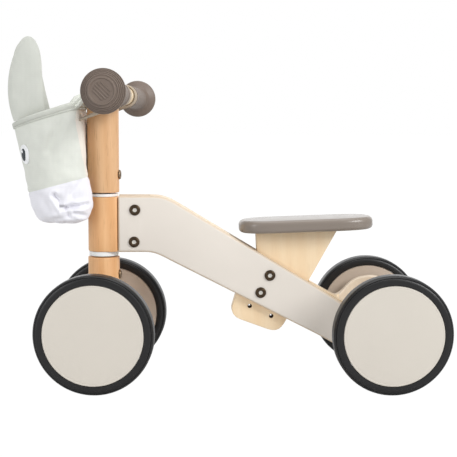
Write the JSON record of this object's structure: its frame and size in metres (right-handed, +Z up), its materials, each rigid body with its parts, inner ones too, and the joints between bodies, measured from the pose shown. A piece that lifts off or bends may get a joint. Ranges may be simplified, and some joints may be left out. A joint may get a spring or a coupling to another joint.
{
  "type": "balance bike",
  "caption": "Small wooden ride-on balance bike for a toddler, with steering posts, plain wheels, a flat seat board and a soft animal-head bag.",
  "frame": {"origin": "bottom centre of the bounding box, on the ground", "axes": "+X from the front wheels to the rear wheels, +Y to the rider's right, +Z up"},
  "size_m": [0.523, 0.3322, 0.4113],
  "materials": {
    "beech": "clear matt lacquer",
    "birch": "clear matt lacquer, ply edges",
    "painted_ply": "warm light grey matt paint",
    "seat_paint": "taupe satin paint",
    "disc": "warm light grey",
    "tyre": "smooth black",
    "grip": "soft taupe rubber",
    "bronze": "dark bronze plated",
    "steel": "zinc plated",
    "nylon": "white nylon",
    "cloth": "pale sage canvas with white muzzle",
    "eye": "white felt with a dark pupil",
    "webbing": "cream cotton webbing"
  },
  "bodies": {
    "frame": {"head_block": "beech", "head_bush_upper": "nylon", "head_bush_lower": "nylon", "side_plate_right": "painted_ply", "side_plate_left": "painted_ply", "front_core": "birch", "rear_core": "birch", "seat_block": "birch", "seat_board": "seat_paint", "seat_dowel_1": "beech", "seat_dowel_2": "beech", "frame_bolt_1": "bronze", "sleeve_nut_1": "bronze", "frame_bolt_2": "bronze", "sleeve_nut_2": "bronze", "frame_bolt_3": "bronze", "sleeve_nut_3": "bronze", "frame_bolt_4": "bronze", "sleeve_nut_4": "bronze", "rear_axle": "steel", "rear_axle_tube": "nylon", "rear_spacer_right": "nylon", "rear_spacer_left": "nylon", "rear_left_axle_nut": "steel", "rear_right_axle_nut": "steel"},
    "fork": {"stem": "beech", "steering_rod": "steel", "lower_post": "beech", "stem_bolt": "bronze", "post_bolt": "bronze", "handlebar": "birch", "handlebar_bolt": "bronze", "grip_right": "grip", "grip_left": "grip", "front_axle": "steel", "front_sleeve_right": "nylon", "front_sleeve_left": "nylon", "front_left_axle_nut": "steel", "front_right_axle_nut": "steel", "bag": "cloth", "ear_left": "cloth", "eye_left": "eye", "bag_strap_left": "webbing", "ear_right": "cloth", "eye_right": "eye", "bag_strap_right": "webbing"},
    "front_left_wheel": {"front_left_tyre": "tyre", "front_left_wheel_core": "disc", "front_left_wheel_cover": "disc"},
    "front_right_wheel": {"front_right_tyre": "tyre", "front_right_wheel_core": "disc", "front_right_wheel_cover": "disc"},
    "rear_left_wheel": {"rear_left_tyre": "tyre", "rear_left_wheel_core": "disc", "rear_left_wheel_cover": "disc"},
    "rear_right_wheel": {"rear_right_tyre": "tyre", "rear_right_wheel_core": "disc", "rear_right_wheel_cover": "disc"}
  },
  "joints": [
    {"name": "steering", "type": "hinge", "parent": "frame", "child": "fork", "pos_m": [-0.14654, 0.00183, 0.19], "axis": [0, 0, 1], "range_deg": [-40.6, 49.4]},
    {"name": "front_left_spin", "type": "hinge", "parent": "fork", "child": "front_left_wheel", "pos_m": [-0.15333, -0.07337, 0.07], "axis": [0.0767, 0.9971, 0], "continuous": true},
    {"name": "front_right_spin", "type": "hinge", "parent": "fork", "child": "front_right_wheel", "pos_m": [-0.14175, 0.07718, 0.07], "axis": [0.0767, 0.9971, 0], "continuous": true},
    {"name": "rear_left_spin", "type": "hinge", "parent": "frame", "child": "rear_left_wheel", "pos_m": [0.19146, -0.08517, 0.07], "axis": [0, 1, 0], "continuous": true},
    {"name": "rear_right_spin", "type": "hinge", "parent": "frame", "child": "rear_right_wheel", "pos_m": [0.19146, 0.08883, 0.07], "axis": [0, 1, 0], "continuous": true}
  ]
}
